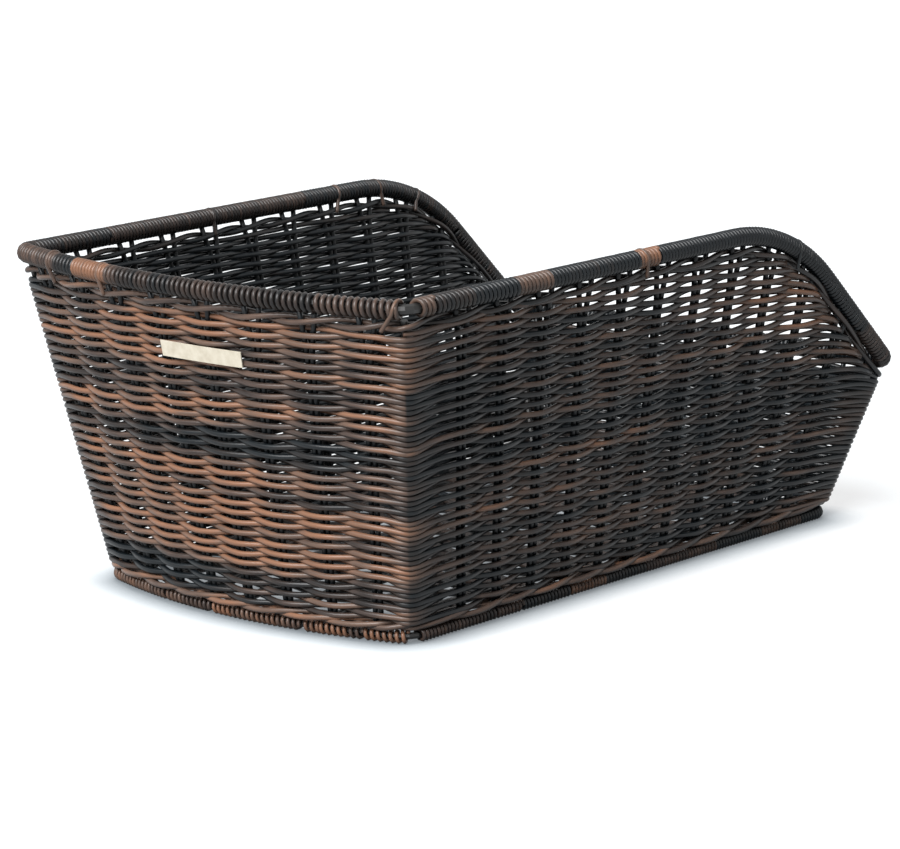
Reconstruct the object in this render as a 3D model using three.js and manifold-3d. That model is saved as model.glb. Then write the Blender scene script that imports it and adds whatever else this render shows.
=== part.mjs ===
// Rear bicycle basket: woven strand walls on a wound steel rod frame, with one tall and one lowered end.
// Millimetres, +Z up, +X towards the lowered end. z = 0 is the flat underside and the origin is under
// the middle of the basket. Frame sizes are taken on the rods' centre lines.
import * as THREE from "three";
import { mergeVertices } from "three/addons/utils/BufferGeometryUtils.js";
import Module from "manifold-3d";

const wasm = await Module();
wasm.setup();

// Base ring
const base_length = 382;
const base_width = 238;
const base_bow = 20; // how far the tall end bows out in plan
const base_corner = 12; // length of side that each corner takes to turn
const base_rod_diameter = 4;
const base_strand_diameter = 2.4;

// Rim
const rim_width = 304;
const rim_bow = 24;
const rim_corner = 10;
const rim_rod_diameter = 6;
const rim_strand_diameter = 2.9;
const rim_height = 195; // level rim above the base ring
const tall_end_lean = 35; // rim corners behind the base ring's corners
const level_rim_length = 339; // from the tall corners to the apex of the bend
const bend_radius = 130;
const low_end_height = 97.5; // cross bar above the base ring
const low_end_reach = 21; // cross bar beyond the base ring

// Stakes, posts and cross rods
const strand_diameter = 2.8;
const post_diameter = 4;
const cross_rod_diameter = 4;
const cross_rod_count = 2;
const side_stake_count = 11;
const tall_end_stake_count = 8;
const low_end_stake_count = 7;
const end_stake_margin = 18; // from the base corner to the outermost pair of an end wall

// Weave: a course stands for a band of strands that pass the stakes on the same side
const row_pitch = 3;
const rows_in_course = 5;
const under_relief = 2.9; // half thickness where a course passes behind a stake
const groove_relief = 2.5; // half thickness between two courses
const crossing_relief = 1.4; // half thickness midway between two stakes, where the strands cross
const corner_groove_relief = 3.2; // the same where the weave wraps a corner post
const waling_relief = 4.6; // half thickness of the twisted band at the foot of the walls

// Windings: a rib stands for a few turns of strand
const rim_turn_pitch = 3.6;
const rim_turns_in_rib = 5;
const base_turn_pitch = 3.2;
const base_turns_in_rib = 8;
const rib_depth_share = 0.45; // valley depth as a share of the strand
const winding_lap = 16; // straight rod that an end winding covers beyond its corners
const underside_flat = 0.5;

// Plate on the tall end wall
const plate_length = 63;
const plate_height = 9.3;
const plate_thickness = 0.8;
const plate_level = 158; // middle of the plate above the base ring
const plate_shift = 16; // from the middle of the wall towards the right side

const clearance = 0.3;
const bore_clearance = 0.45; // between a rod and the inside of its winding
const fuse = 0.4; // how deep crossing strands of the base grid press into each other
const section_sides = 8;
const corner_steps = 4;
const bend_steps = 5;
const bow_steps = 6;
const plate_steps = 6;

// Derived sizes
const rim_winding_radius = rim_rod_diameter / 2 + rim_strand_diameter;
const base_winding_radius = base_rod_diameter / 2 + base_strand_diameter;
const weave_half = strand_diameter * 1.5; // a strand, a stake and a strand
const pair_width = strand_diameter * 2;
const course_height = row_pitch * rows_in_course;
const base_level = base_winding_radius - underside_flat;
const rim_level = base_level + rim_height;
const low_level = base_level + low_end_height;
const low_bar_x = base_length + low_end_reach;
const tall_reach = tall_end_lean + rim_bow;
const origin_x = (low_bar_x - tall_reach) / 2;

// Side view of the rim: level, then a round bend, then a straight slope down to the cross bar
const apex_x = level_rim_length - tall_end_lean - origin_x;
const slope_angle = Math.atan2(rim_level - low_level, low_bar_x - origin_x - apex_x);
const bend_tangent = bend_radius * Math.tan(slope_angle / 2);
const bend_start_x = apex_x - bend_tangent;
const bend_end_x = apex_x + bend_tangent * Math.cos(slope_angle);

function rim_level_at(x) {
  if (x <= bend_start_x) return rim_level;
  if (x >= bend_end_x) return rim_level - (x - apex_x) * Math.tan(slope_angle);
  return rim_level - bend_radius + Math.sqrt(bend_radius ** 2 - (x - bend_start_x) ** 2);
}

function rim_slope_at(x) {
  if (x <= bend_start_x) return 0;
  if (x >= bend_end_x) return -Math.tan(slope_angle);
  return -(x - bend_start_x) / Math.sqrt(bend_radius ** 2 - (x - bend_start_x) ** 2);
}

const base_ring = {
  tall_x: -origin_x,
  low_x: base_length - origin_x,
  half_width: base_width / 2,
  bow: base_bow,
  corner: base_corner,
  side_steps: [],
  level_at: () => base_level,
  slope_at: () => 0,
};

const rim_ring = {
  tall_x: -tall_end_lean - origin_x,
  low_x: low_bar_x - origin_x,
  half_width: rim_width / 2,
  bow: rim_bow,
  corner: rim_corner,
  side_steps: Array.from({ length: bend_steps + 1 }, (_, i) => {
    return bend_start_x + ((bend_end_x - bend_start_x) * i) / bend_steps;
  }),
  level_at: rim_level_at,
  slope_at: rim_slope_at,
};

// A place on a rod: a point of its centre line and the direction in which the rod runs there.
function place(point, run) {
  return { point, run: run.normalize() };
}

function turned(a_place) {
  return { point: a_place.point, run: a_place.run.clone().negate() };
}

// side is 1 for the left of the basket and -1 for the right.
function side_place(ring, side, x) {
  const point = new THREE.Vector3(x, side * ring.half_width, ring.level_at(x));
  return place(point, new THREE.Vector3(1, 0, ring.slope_at(x)));
}

// t runs from -1 to 1 across the basket.
function tall_end_place(ring, t) {
  const x = ring.tall_x - ring.bow * (1 - t * t);
  const point = new THREE.Vector3(x, t * ring.half_width, ring.level_at(ring.tall_x));
  return place(point, new THREE.Vector3(-2 * ring.bow * t, -ring.half_width, 0));
}

function low_end_place(ring, t) {
  const point = new THREE.Vector3(ring.low_x, t * ring.half_width, ring.level_at(ring.low_x));
  return place(point, new THREE.Vector3(0, -1, 0));
}

function end_turn(ring) {
  return 1 - ring.corner / ring.half_width;
}

function side_run(ring) {
  const slope = Math.atan(ring.slope_at(ring.low_x));
  return [ring.tall_x + ring.corner, ring.low_x - ring.corner * Math.cos(slope)];
}

// Corner curves run from the side of the basket to its end.
function tall_corner(ring, side) {
  const t = end_turn(ring);
  const start = side_place(ring, side, side_run(ring)[0]).point;
  const turn = start.clone().setX(ring.tall_x - ring.bow * (1 - t) ** 2);
  return new THREE.QuadraticBezierCurve3(start, turn, tall_end_place(ring, side * t).point);
}

function low_corner(ring, side) {
  const start = side_place(ring, side, side_run(ring)[1]).point;
  const turn = low_end_place(ring, side).point;
  return new THREE.QuadraticBezierCurve3(start, turn, low_end_place(ring, side * end_turn(ring)).point);
}

function curve_place(curve, s) {
  return place(curve.getPoint(s), curve.getTangent(s));
}

function steps_of(from, to, steps) {
  return Array.from({ length: steps + 1 }, (_, i) => from + ((to - from) * i) / steps);
}

// The three stretches of each ring that carry a winding of their own.
function tall_end_stretch(ring) {
  const lap_x = side_run(ring)[0] + winding_lap;
  const t = end_turn(ring);
  const corner = (side) => steps_of(0, 1, corner_steps).map((s) => curve_place(tall_corner(ring, side), s));
  return [
    turned(side_place(ring, 1, lap_x)),
    ...corner(1),
    ...steps_of(t, -t, bow_steps).slice(1, -1).map((at) => tall_end_place(ring, at)),
    ...corner(-1).reverse().map(turned),
    side_place(ring, -1, lap_x),
  ];
}

function side_stretch(ring, side) {
  const [tall_x, low_x] = side_run(ring);
  const last_x = low_x - winding_lap * Math.cos(Math.atan(ring.slope_at(low_x)));
  return [tall_x + winding_lap, ...ring.side_steps, last_x].map((x) => side_place(ring, side, x));
}

function low_end_stretch(ring) {
  const low_x = side_run(ring)[1];
  const lap_x = low_x - winding_lap * Math.cos(Math.atan(ring.slope_at(low_x)));
  const corner = (side) => steps_of(0, 1, corner_steps).map((s) => curve_place(low_corner(ring, side), s));
  return [
    side_place(ring, 1, lap_x),
    ...corner(1),
    ...corner(-1).reverse().map(turned),
    turned(side_place(ring, -1, lap_x)),
  ];
}

// A closed mesh from shared points and faces, with its faces turned outwards.
function closed_geometry(points, faces) {
  let volume = 0;
  for (let i = 0; i < faces.length; i += 3) {
    const [a, b, c] = [points[faces[i]], points[faces[i + 1]], points[faces[i + 2]]];
    volume += a.dot(b.clone().cross(c));
  }
  const geometry = new THREE.BufferGeometry().setFromPoints(points);
  geometry.setIndex(volume < 0 ? faces.slice().reverse() : faces);
  geometry.computeVertexNormals();
  return geometry;
}

// Skin over rings of equal counts of points: capped at both ends, or joined last to first.
function skinned(rings, joined) {
  const sides = rings[0].length;
  const faces = [];
  const spans = joined ? rings.length : rings.length - 1;
  for (let i = 0; i < spans; i++) {
    const next = (i + 1) % rings.length;
    for (let k = 0; k < sides; k++) {
      const [a, b] = [i * sides + k, i * sides + ((k + 1) % sides)];
      const [c, d] = [next * sides + ((k + 1) % sides), next * sides + k];
      faces.push(a, b, c, a, c, d);
    }
  }
  if (!joined) {
    const last = (rings.length - 1) * sides;
    for (let k = 1; k < sides - 1; k++) {
      faces.push(0, k + 1, k, last, last + k, last + k + 1);
    }
  }
  return closed_geometry(rings.flat(), faces);
}

// The section of a round rod or winding, with a corner of the section at its top and outermost points.
function section_ring({ point, run }, radius) {
  const across = new THREE.Vector3(0, 0, 1).cross(run).normalize();
  const up = run.clone().cross(across);
  return Array.from({ length: section_sides }, (_, k) => {
    const angle = (2 * Math.PI * k) / section_sides;
    return point
      .clone()
      .addScaledVector(across, radius * Math.cos(angle))
      .addScaledVector(up, radius * Math.sin(angle));
  });
}

// Places evenly spaced along a stretch, between its own places.
function evenly_spaced(stretch, count) {
  const reach = [0];
  for (let i = 1; i < stretch.length; i++) {
    reach.push(reach[i - 1] + stretch[i].point.distanceTo(stretch[i - 1].point));
  }
  let i = 0;
  return steps_of(0, reach[reach.length - 1], count).map((at) => {
    while (i < stretch.length - 2 && reach[i + 1] < at) i++;
    const share = (at - reach[i]) / (reach[i + 1] - reach[i]);
    const point = stretch[i].point.clone().lerp(stretch[i + 1].point, share);
    return place(point, stretch[i].run.clone().lerp(stretch[i + 1].run, share));
  });
}

function length_of(stretch) {
  return stretch.slice(1).reduce((sum, at, i) => sum + at.point.distanceTo(stretch[i].point), 0);
}

// A winding: a ribbed sleeve round the rod, an odd number of ribs long so that one is in the middle.
function winding_geometry(stretch, rod_radius, strand, rib_pitch) {
  const ends_cut = cut_back(stretch, clearance / 2);
  const ribs = 2 * Math.round((length_of(ends_cut) / rib_pitch - 1) / 2) + 1;
  const peak = rod_radius + strand;
  const valley = peak - rib_depth_share * strand;
  const outer = evenly_spaced(ends_cut, 2 * ribs).map((at, i) => section_ring(at, i % 2 ? peak : valley));
  const bore = ends_cut.map((at) => section_ring(at, rod_radius + bore_clearance));
  return skinned([...outer, ...bore.reverse()], true);
}

// The same stretch with both straight ends shortened.
function cut_back(stretch, by) {
  const shortened = stretch.slice();
  const first = stretch[0];
  const last = stretch[stretch.length - 1];
  shortened[0] = place(first.point.clone().addScaledVector(first.run, by), first.run.clone());
  shortened[stretch.length - 1] = place(last.point.clone().addScaledVector(last.run, -by), last.run.clone());
  return shortened;
}

function solid_of(geometry) {
  const bare = new THREE.BufferGeometry();
  bare.setAttribute("position", geometry.getAttribute("position"));
  bare.setIndex(geometry.index);
  const merged = mergeVertices(bare, 1e-4);
  const vertProperties = new Float32Array(merged.attributes.position.array);
  const triVerts = new Uint32Array(merged.index.array);
  return new wasm.Manifold(new wasm.Mesh({ numProp: 3, vertProperties, triVerts }));
}

function geometry_of(solid) {
  const { vertProperties, triVerts } = solid.getMesh();
  const geometry = new THREE.BufferGeometry();
  geometry.setAttribute("position", new THREE.BufferAttribute(vertProperties, 3));
  geometry.setIndex(new THREE.BufferAttribute(triVerts, 1));
  geometry.computeVertexNormals();
  return geometry;
}

// Everything below the floor plane is taken off the base windings, which the basket stands on.
const floor_block = new THREE.BoxGeometry(2 * base_length, 2 * base_width, base_winding_radius);
floor_block.translate(0, 0, -base_winding_radius / 2);
const floor_solid = solid_of(floor_block);

// Cross rods run between the long sides of the base ring, welded to it through its winding
const cross_rod_radius = cross_rod_diameter / 2;
const cross_rod_length = base_width - base_rod_diameter - 2 * clearance;
const cross_rod_places = Array.from({ length: cross_rod_count }, (_, i) => {
  const x = base_ring.tall_x + (base_length * (i + 1)) / (cross_rod_count + 1);
  return new THREE.Vector3(x, 0, base_level);
});

function cross_rod_geometry(growth) {
  const radius = cross_rod_radius + growth;
  return new THREE.CylinderGeometry(radius, radius, cross_rod_length, section_sides);
}

function standing_winding(stretch) {
  const rib_pitch = base_turn_pitch * base_turns_in_rib;
  const sleeve = winding_geometry(stretch, base_rod_diameter / 2, base_strand_diameter, rib_pitch);
  const rod_holes = cross_rod_places.map(({ x, y, z }) => {
    return solid_of(cross_rod_geometry(clearance).translate(x, y, z));
  });
  const cuts = [floor_solid, ...rod_holes];
  return geometry_of(cuts.reduce((winding, cut) => winding.subtract(cut), solid_of(sleeve)));
}

function rim_winding(stretch) {
  const rib_pitch = rim_turn_pitch * rim_turns_in_rib;
  return winding_geometry(stretch, rim_rod_diameter / 2, rim_strand_diameter, rib_pitch);
}

// A closed loop of bent rod, butt welded.
function rod_loop(ring, radius) {
  const loop = [
    ...tall_end_stretch(ring),
    ...side_stretch(ring, -1).slice(1),
    ...low_end_stretch(ring).reverse().map(turned).slice(1),
    ...side_stretch(ring, 1).reverse().map(turned).slice(1, -1),
  ];
  return skinned(loop.map((at) => section_ring(at, radius)), true);
}

// A station of a wall: where it stands on the base ring and where it reaches the rim.
function station(base, rim, stake) {
  return { base, rim, stake };
}

function corner_station(corner_of, side, s, stake) {
  return station(
    curve_place(corner_of(base_ring, side), s),
    curve_place(corner_of(rim_ring, side), s),
    stake,
  );
}

function side_station(side, share, stake) {
  const [base_x, rim_x] = [base_ring, rim_ring].map((ring) => {
    const [from, to] = side_run(ring);
    return from + (to - from) * share;
  });
  return station(side_place(base_ring, side, base_x), side_place(rim_ring, side, rim_x), stake);
}

function end_station(end_place, t, stake) {
  return station(end_place(base_ring, t), end_place(rim_ring, t), stake);
}

const is_stake = (a_station) => a_station.stake >= 0;
const is_crossing = (a_station) => a_station.stake === crossing;
const no_stake = -1;
const crossing = -2;
const corner_half = 0.5;
const corner_quarter = 0.25;
const seam = clearance / (base_corner * Math.SQRT2) / 2;

// Stations at the stakes of a wall, with the crossings of the strands midway between them.
function with_crossings(count, station_at) {
  return Array.from({ length: 2 * count - 1 }, (_, i) => station_at(i / 2, i % 2 ? crossing : i / 2));
}

function side_stations(side) {
  const stakes = with_crossings(side_stake_count, (i, stake) => {
    return side_station(side, (i + 1) / (side_stake_count + 1), stake);
  });
  return [
    corner_station(tall_corner, side, corner_half - seam, no_stake),
    corner_station(tall_corner, side, corner_quarter, no_stake),
    side_station(side, 0, no_stake),
    ...stakes,
    side_station(side, 1, no_stake),
    corner_station(low_corner, side, corner_quarter, no_stake),
    corner_station(low_corner, side, corner_half - seam, no_stake),
  ];
}

function end_stations(end_place, corner_of, count) {
  const outermost = 1 - end_stake_margin / base_ring.half_width;
  const stakes = with_crossings(count, (i, stake) => {
    return end_station(end_place, outermost * (1 - (2 * i) / (count - 1)), stake);
  });
  const corner = (side) => [
    corner_station(corner_of, side, corner_half + seam, no_stake),
    corner_station(corner_of, side, 1 - corner_quarter, no_stake),
    corner_station(corner_of, side, 1, no_stake),
  ];
  return [...corner(1), ...stakes, ...corner(-1).reverse()];
}

// A point of a wall's middle surface: walls are ruled from the base ring to the rim.
function wall_point({ base, rim }, level) {
  const share = (level - base.point.z) / (rim.point.z - base.point.z);
  return base.point.clone().lerp(rim.point, share);
}

// The level outward direction of a wall at a station, square to the way its rows run.
function outward({ base, rim }, level) {
  const share = (level - base.point.z) / (rim.point.z - base.point.z);
  const along = base.run.clone().lerp(rim.run, share);
  const out = new THREE.Vector3(along.y, -along.x, 0).normalize();
  return out.dot(base.point) < 0 ? out.negate() : out;
}

// Triangles between two neighbouring columns, as numbers of points. The columns may differ in count:
// the strip climbs them together, always on the one whose next point is the lower.
function strip_faces(left, right, points) {
  const faces = [];
  let [i, j] = [0, 0];
  while (i < left.length - 1 || j < right.length - 1) {
    const left_level = i < left.length - 1 ? points[left[i + 1]].z : Infinity;
    const right_level = j < right.length - 1 ? points[right[j + 1]].z : Infinity;
    if (left_level < right_level) {
      faces.push([left[i], right[j], left[i + 1]]);
      i++;
    } else {
      faces.push([left[i], right[j], right[j + 1]]);
      j++;
    }
  }
  return faces;
}

// A wall panel from columns of outer and inner points, closed all round.
function panel_geometry(outer, inner) {
  const points = [...outer.flat(), ...inner.flat()];
  let count = 0;
  const numbered = (columns) => columns.map((column) => column.map(() => count++));
  const [out, inn] = [outer, inner].map(numbered);
  const faces = [];
  const quad = (a, b, c, d) => faces.push(a, b, c, a, c, d);
  const end = out.length - 1;
  for (let c = 0; c < end; c++) {
    for (const [a, b, d] of strip_faces(out[c], out[c + 1], points)) faces.push(a, b, d);
    for (const [a, b, d] of strip_faces(inn[c], inn[c + 1], points)) faces.push(a, d, b);
    quad(out[c][0], inn[c][0], inn[c + 1][0], out[c + 1][0]);
    quad(out[c].at(-1), out[c + 1].at(-1), inn[c + 1].at(-1), inn[c].at(-1));
  }
  for (let r = 0; r < out[0].length - 1; r++) {
    quad(out[0][r], out[0][r + 1], inn[0][r + 1], inn[0][r]);
    quad(out[end][r], inn[end][r], inn[end][r + 1], out[end][r + 1]);
  }
  return closed_geometry(points, faces);
}

const wall_foot = base_level + base_winding_radius + clearance;
const rim_underside = rim_winding_radius + clearance;

// Half thickness of the weave on one face. Courses pass the stakes outside and inside by turns.
function relief(a_station, row, face) {
  const between_courses = row % 2 === 0;
  const course = (row - 1) / 2;
  if (is_crossing(a_station) && row > 1) return crossing_relief;
  if (a_station.stake === no_stake) return between_courses ? corner_groove_relief : weave_half;
  if (between_courses) return groove_relief;
  if (course === 0) return waling_relief;
  return (a_station.stake + course + face) % 2 === 0 ? weave_half : under_relief;
}

function wall_levels(top) {
  const half_course = course_height / 2;
  const count = Math.floor((top - wall_foot) / half_course);
  const levels = steps_of(wall_foot, wall_foot + count * half_course, count);
  levels[levels.length - 1] = top;
  return levels;
}

// Crossings are plain, so a column there has a point only above the waling and at every other groove.
function has_point(a_station, row, last_row) {
  return !is_crossing(a_station) || row < 3 || row % 4 === 0 || row === last_row;
}

function woven_panel(stations, top) {
  const levels = wall_levels(top);
  const last_row = levels.length - 1;
  const face_points = (face, sign) => {
    return stations.map((at) => {
      const rows = levels.map((_, row) => row).filter((row) => has_point(at, row, last_row));
      return rows.map((row) => {
        const proud = row === last_row && !is_crossing(at) ? groove_relief : relief(at, row, face);
        const point = wall_point(at, levels[row]);
        return point.addScaledVector(outward(at, levels[row]), sign * proud);
      });
    });
  };
  return panel_geometry(face_points(0, 1), face_points(1, -1));
}

// A straight upright between the base winding and the rim winding. It stops at its clearance from both,
// also where a wide upright meets a rod that runs past it on the slant.
function upright_span({ base, rim }, half_width) {
  const axis = rim.point.clone().sub(base.point).normalize();
  const stop = ({ run }, radius) => {
    const lean = Math.abs(axis.dot(run));
    return (radius + clearance + half_width * lean) / Math.sqrt(1 - lean ** 2);
  };
  return {
    axis,
    from: base.point.clone().addScaledVector(axis, stop(base, base_winding_radius)),
    to: rim.point.clone().addScaledVector(axis, -stop(rim, rim_winding_radius)),
  };
}

// Two strands side by side, seen end on.
function pair_shape(growth) {
  const radius = strand_diameter / 2 + growth;
  const centre = (pair_width - strand_diameter) / 2;
  const shape = new THREE.Shape();
  shape.absarc(centre, 0, radius, -Math.PI / 2, Math.PI / 2, false);
  shape.absarc(-centre, 0, radius, Math.PI / 2, (3 * Math.PI) / 2, false);
  return shape;
}

function pair_geometry(length, growth) {
  const settings = { depth: length, bevelEnabled: false, curveSegments: 1, steps: 1 };
  return new THREE.ExtrudeGeometry(pair_shape(growth), settings);
}

function upright_matrix(from, axis, along) {
  const x = along.clone().addScaledVector(axis, -along.dot(axis)).normalize();
  const y = axis.clone().cross(x);
  return new THREE.Matrix4().makeBasis(x, y, axis).setPosition(from);
}

function stake_parts(a_station) {
  const { axis, from, to } = upright_span(a_station, pair_width / 2);
  const length = from.distanceTo(to);
  const over = 2 * rim_underside;
  const matrix = upright_matrix(from, axis, a_station.base.run);
  const tunnel_start = from.clone().addScaledVector(axis, -over);
  const tunnel = pair_geometry(length + 2 * over + bend_radius, clearance);
  tunnel.applyMatrix4(upright_matrix(tunnel_start, axis, a_station.base.run));
  return { geometry: pair_geometry(length, 0), matrix, tunnel: solid_of(tunnel) };
}

function post_parts(a_station) {
  const { axis, from, to } = upright_span(a_station, post_diameter / 2);
  const length = from.distanceTo(to);
  const over = 2 * rim_underside;
  const radius = post_diameter / 2;
  const rod = new THREE.CylinderGeometry(radius, radius, length, section_sides);
  const groove = new THREE.CylinderGeometry(
    radius + clearance,
    radius + clearance,
    length + 2 * over,
    section_sides,
  );
  for (const each of [rod, groove]) each.rotateX(Math.PI / 2);
  const middle = from.clone().lerp(to, 1 / 2);
  const matrix = upright_matrix(middle, axis, a_station.base.run);
  groove.applyMatrix4(matrix);
  return { geometry: rod, matrix, groove: solid_of(groove) };
}

// Everything above the underside of the rim winding, taken off the side walls.
function above_rim_solid() {
  const inner_radius = bend_radius - rim_underside;
  const centre_z = rim_level - bend_radius;
  const far = low_bar_x;
  const past_low = rim_ring.low_x + rim_underside;
  const slope_end_z = rim_level_at(past_low) - rim_underside / Math.cos(slope_angle);
  const outline = new THREE.Shape();
  outline.moveTo(-far, rim_level - rim_underside);
  outline.lineTo(bend_start_x, rim_level - rim_underside);
  outline.absarc(bend_start_x, centre_z, inner_radius, Math.PI / 2, Math.PI / 2 - slope_angle, true);
  outline.lineTo(past_low, slope_end_z);
  outline.lineTo(far, slope_end_z);
  outline.lineTo(far, 2 * rim_level);
  outline.lineTo(-far, 2 * rim_level);
  const settings = { depth: 2 * rim_width, bevelEnabled: false, curveSegments: bend_steps };
  const block = new THREE.ExtrudeGeometry(outline, settings);
  block.rotateX(Math.PI / 2);
  block.translate(0, rim_width, 0);
  return solid_of(block);
}

const part = new THREE.Group();
const frame = new THREE.Group();
const weave = new THREE.Group();
const windings = new THREE.Group();
const base = new THREE.Group();
part.add(frame, weave, windings, base);

const finishes = {
  steel: { color: 0x1b1a19, roughness: 0.5, metalness: 0.3 },
  weave: { color: 0x4e3a31, roughness: 0.42, metalness: 0 },
  stake: { color: 0x2b2422, roughness: 0.45, metalness: 0 },
  winding: { color: 0x33292a, roughness: 0.38, metalness: 0 },
  plate: { color: 0xe0d6bd, roughness: 0.5, metalness: 0 },
};

function add_mesh(group, name, geometry, finish, matrix) {
  const mesh = new THREE.Mesh(geometry, new THREE.MeshStandardMaterial(finishes[finish]));
  mesh.name = name;
  if (matrix) matrix.decompose(mesh.position, mesh.quaternion, mesh.scale);
  group.add(mesh);
  return mesh;
}

const sides = [
  ["left", 1],
  ["right", -1],
];

// Frame rods and their windings
add_mesh(frame, "rim_rod", rod_loop(rim_ring, rim_rod_diameter / 2), "steel");
add_mesh(frame, "base_ring_rod", rod_loop(base_ring, base_rod_diameter / 2), "steel");
add_mesh(windings, "rim_winding_tall_end", rim_winding(tall_end_stretch(rim_ring)), "winding");
add_mesh(windings, "rim_winding_low_end", rim_winding(low_end_stretch(rim_ring)), "winding");
add_mesh(windings, "base_winding_tall_end", standing_winding(tall_end_stretch(base_ring)), "winding");
add_mesh(windings, "base_winding_low_end", standing_winding(low_end_stretch(base_ring)), "winding");
for (const [name, side] of sides) {
  add_mesh(windings, `rim_winding_${name}`, rim_winding(side_stretch(rim_ring, side)), "winding");
  add_mesh(windings, `base_winding_${name}`, standing_winding(side_stretch(base_ring, side)), "winding");
}

// Corner posts stand in grooves that both neighbouring walls share
const grooves = {};
for (const [end_name, corner_of] of [["tall", tall_corner], ["low", low_corner]]) {
  for (const [name, side] of sides) {
    const post = post_parts(corner_station(corner_of, side, corner_half, no_stake));
    add_mesh(frame, `corner_post_${end_name}_${name}`, post.geometry, "steel", post.matrix);
    grooves[end_name + side] = post.groove;
  }
}

function add_wall(name, stations, top, cuts) {
  let wall = solid_of(woven_panel(stations, top));
  for (const cut of cuts) wall = wall.subtract(cut);
  stations.filter(is_stake).forEach((at) => {
    const stake = stake_parts(at);
    wall = wall.subtract(stake.tunnel);
    const number = String(at.stake + 1).padStart(2, "0");
    add_mesh(weave, `${name}_stake_pair_${number}`, stake.geometry, "stake", stake.matrix);
  });
  add_mesh(weave, `woven_wall_${name}`, geometry_of(wall), "weave");
}

const above_rim = above_rim_solid();
for (const [name, side] of sides) {
  add_wall(name, side_stations(side), rim_level, [grooves["tall" + side], grooves["low" + side], above_rim]);
}
const tall_end_wall = end_stations(tall_end_place, tall_corner, tall_end_stake_count);
const low_end_wall = end_stations(low_end_place, low_corner, low_end_stake_count);
add_wall("tall_end", tall_end_wall, rim_level - rim_underside, [grooves.tall1, grooves["tall-1"]]);
add_wall("low_end", low_end_wall, low_level - rim_underside, [grooves.low1, grooves["low-1"]]);

// The plate follows the bow of the tall end wall, clear of the weave
function plate_geometry() {
  const middle_t = -plate_shift / (rim_width / 2);
  const half_t = plate_length / rim_width;
  const levels = [-1, 1].map((way) => base_level + plate_level + (way * plate_height) / 2);
  const columns = steps_of(middle_t + half_t, middle_t - half_t, plate_steps);
  const face = (proud) => {
    return columns.map((t) => {
      const at = end_station(tall_end_place, t, no_stake);
      return levels.map((level) => wall_point(at, level).addScaledVector(outward(at, level), proud));
    });
  };
  const back = weave_half + clearance;
  return panel_geometry(face(back + plate_thickness), face(back));
}
add_mesh(weave, "label_plate", plate_geometry(), "plate");

cross_rod_places.forEach((at, i) => {
  add_mesh(base, `base_cross_rod_${i + 1}`, cross_rod_geometry(0), "steel").position.copy(at);
});

// Open grid of paired strands on the cross rods, lengthwise pairs below and crosswise pairs above
function flat_pair(from, to) {
  const axis = to.clone().sub(from);
  const length = axis.length();
  axis.normalize();
  const along = new THREE.Vector3(0, 0, 1).cross(axis);
  return solid_of(pair_geometry(length, 0).applyMatrix4(upright_matrix(from, axis, along)));
}

function base_grid_geometry() {
  const edge = waling_relief + clearance;
  const lower = base_level + cross_rod_radius + clearance + strand_diameter / 2;
  const upper = lower + strand_diameter - fuse;
  const pairs = [];
  low_end_wall.filter(is_stake).forEach(({ base: low }) => {
    const t = low.point.y / base_ring.half_width;
    const tall = tall_end_place(base_ring, t).point;
    const from = new THREE.Vector3(tall.x + edge + pair_width / 2, tall.y, lower);
    pairs.push(flat_pair(from, new THREE.Vector3(low.point.x - edge, tall.y, lower)));
  });
  side_stations(1).filter(is_stake).forEach(({ base: at }) => {
    const reach = at.point.y - edge;
    const x = at.point.x;
    pairs.push(flat_pair(new THREE.Vector3(x, -reach, upper), new THREE.Vector3(x, reach, upper)));
  });
  return geometry_of(pairs.reduce((grid, pair) => grid.add(pair)));
}
add_mesh(base, "base_grid", base_grid_geometry(), "stake");

export default part;
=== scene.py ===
"""Looks of a rear bicycle basket: round polyethylene strand woven and wound on a steel rod frame.

Metres, in the frame of the construction: +X from the tall end to the lowered end, +Y to the left
side, +Z up, z = 0 on the flat underside.
"""
import math
from collections import namedtuple

import bpy
import numpy as np
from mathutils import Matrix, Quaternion, Vector, noise


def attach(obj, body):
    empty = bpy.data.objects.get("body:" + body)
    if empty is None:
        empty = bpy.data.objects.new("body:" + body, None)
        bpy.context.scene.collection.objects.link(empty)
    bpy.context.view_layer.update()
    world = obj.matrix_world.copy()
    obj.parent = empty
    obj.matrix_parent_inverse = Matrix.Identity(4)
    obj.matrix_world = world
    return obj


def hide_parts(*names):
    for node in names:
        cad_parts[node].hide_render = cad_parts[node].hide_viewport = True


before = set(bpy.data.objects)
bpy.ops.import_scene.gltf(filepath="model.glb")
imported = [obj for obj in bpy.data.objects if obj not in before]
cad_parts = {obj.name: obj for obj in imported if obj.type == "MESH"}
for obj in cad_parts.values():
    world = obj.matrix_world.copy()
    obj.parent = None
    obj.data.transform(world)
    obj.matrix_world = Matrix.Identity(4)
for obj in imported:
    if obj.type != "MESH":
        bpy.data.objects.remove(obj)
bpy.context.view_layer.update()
bpy.ops.object.select_all(action="DESELECT")

MM = 0.001

# Frame, on the rods' centre lines
BASE_LENGTH = 382 * MM
BASE_WIDTH = 238 * MM
BASE_BOW = 20 * MM
BASE_CORNER = 12 * MM
BASE_ROD = 4 * MM
BASE_STRAND = 2.4 * MM
RIM_WIDTH = 304 * MM
RIM_BOW = 24 * MM
RIM_CORNER = 10 * MM
RIM_ROD = 6 * MM
RIM_STRAND = 2.9 * MM
RIM_HEIGHT = 195 * MM
TALL_END_LEAN = 35 * MM
LEVEL_RIM_LENGTH = 339 * MM
BEND_RADIUS = 130 * MM
LOW_END_HEIGHT = 97.5 * MM
LOW_END_REACH = 21 * MM
UNDERSIDE_FLAT = 0.5 * MM

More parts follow.
